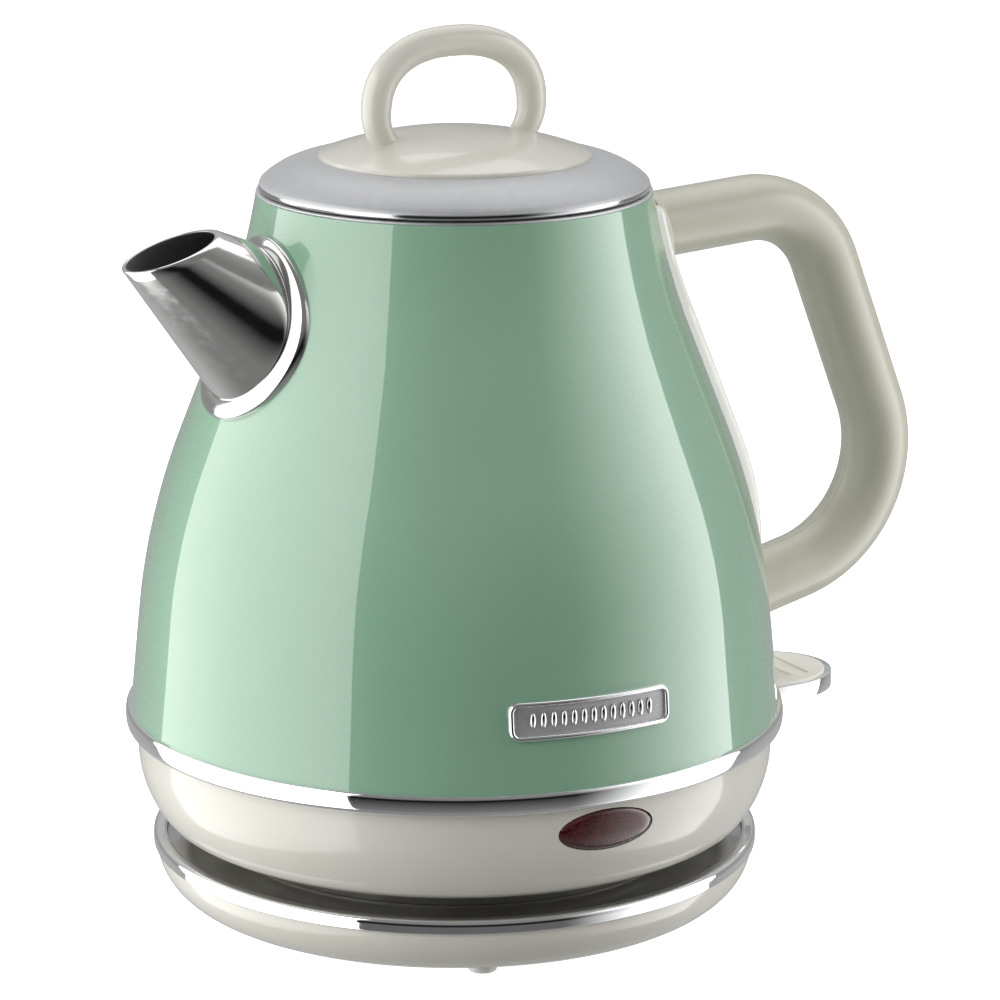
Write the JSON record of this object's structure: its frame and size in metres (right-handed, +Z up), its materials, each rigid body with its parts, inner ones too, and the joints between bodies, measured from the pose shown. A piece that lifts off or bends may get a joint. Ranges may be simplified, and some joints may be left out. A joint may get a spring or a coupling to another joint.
{
  "type": "electric kettle",
  "caption": "Cordless jug kettle with tapered enamelled body, short conical spout, loop handle, lift-off domed lid with loop, rear switch paddle and round power base.",
  "frame": {"origin": "on the vessel's vertical axis, at the plane that the feet stand on", "axes": "+Z up, -X along the spout, +X along the handle, -Y towards the indicator lens"},
  "size_m": [0.2291, 0.1712, 0.2259],
  "materials": {
    "cream_plastic": "soft satin cream moulding",
    "green_enamel": "gloss mint green enamel on steel",
    "chrome_trim": "bright chrome plate",
    "satin_steel": "satin stainless steel",
    "steel_fastener": "plain zinc-plated steel",
    "dark_plastic": "dark grey heat-resistant moulding",
    "filter_plastic": "pale food-safe moulding",
    "brass_contact": "spring brass",
    "heater_aluminium": "cast aluminium",
    "seal_rubber": "grey silicone rubber",
    "red_lens": "dark red translucent lens",
    "lamp_glass": "small neon lamp"
  },
  "bodies": {
    "base": {"base_shell": "cream_plastic", "cord_gland": "seal_rubber", "base_chrome_ring": "chrome_trim", "base_deck": "dark_plastic", "base_connector": "dark_plastic", "base_contacts": "brass_contact", "terminal_block": "dark_plastic", "base_bottom_cover": "dark_plastic", "base_screws": "steel_fastener", "base_feet": "seal_rubber"},
    "connector": {"kettle_connector": "dark_plastic", "connector_pin": "brass_contact"},
    "kettle": {"body_shell": "green_enamel", "neck_ring": "satin_steel", "vessel_floor": "satin_steel", "heat_plate": "heater_aluminium", "heating_element": "heater_aluminium", "control_body": "dark_plastic", "bimetal_discs": "satin_steel", "spout": "chrome_trim", "spout_collar": "chrome_trim", "chrome_band": "chrome_trim", "lower_housing": "cream_plastic", "indicator_lens": "red_lens", "indicator_lamp": "lamp_glass", "bottom_cover": "cream_plastic", "bottom_cover_screws": "steel_fastener", "badge_frame": "chrome_trim", "badge_plate": "satin_steel", "handle_left": "cream_plastic", "handle_right": "cream_plastic", "steam_duct_cover": "cream_plastic", "handle_studs": "steel_fastener", "handle_plate": "cream_plastic", "switch_pivot": "steel_fastener", "switch_cradle": "dark_plastic", "rocker_stand": "dark_plastic", "rocker_pin": "steel_fastener"},
    "filter": {"filter_frame": "filter_plastic", "filter_mesh": "satin_steel"},
    "switch": {"switch_lever": "chrome_trim", "switch_pad": "cream_plastic"},
    "rocker": {"trip_rocker": "dark_plastic"},
    "lid": {"lid_plate": "satin_steel", "lid_cap": "cream_plastic", "lid_loop": "cream_plastic", "lid_screws": "steel_fastener", "lid_liner": "filter_plastic", "lid_gasket": "seal_rubber"}
  },
  "joints": [
    {"name": "kettle_lift", "type": "slide", "parent": "base", "child": "connector", "axis": [0, 0, 1], "range_m": [0, 0.14]},
    {"name": "kettle_swivel", "type": "hinge", "parent": "connector", "child": "kettle", "pos_m": [0, 0, 0.03], "axis": [0, 0, 1], "continuous": true},
    {"name": "lid_lift", "type": "slide", "parent": "kettle", "child": "lid", "axis": [0, 0, 1], "range_m": [0, 0.07]},
    {"name": "filter_pull", "type": "slide", "parent": "kettle", "child": "filter", "axis": [1, 0, 0], "range_m": [0, 0.018]},
    {"name": "switch_tilt", "type": "hinge", "parent": "kettle", "child": "switch", "pos_m": [0.074, 0, 0.0418], "axis": [0, 1, 0], "range_deg": [0, 10]},
    {"name": "rocker_tilt", "type": "hinge", "parent": "kettle", "child": "rocker", "pos_m": [0.054, 0, 0.0406], "axis": [0, 1, 0], "range_deg": [-10, 0]}
  ],
  "couplings": [
    {"joint": "rocker_tilt", "follows": "switch_tilt", "ratio": -1}
  ]
}
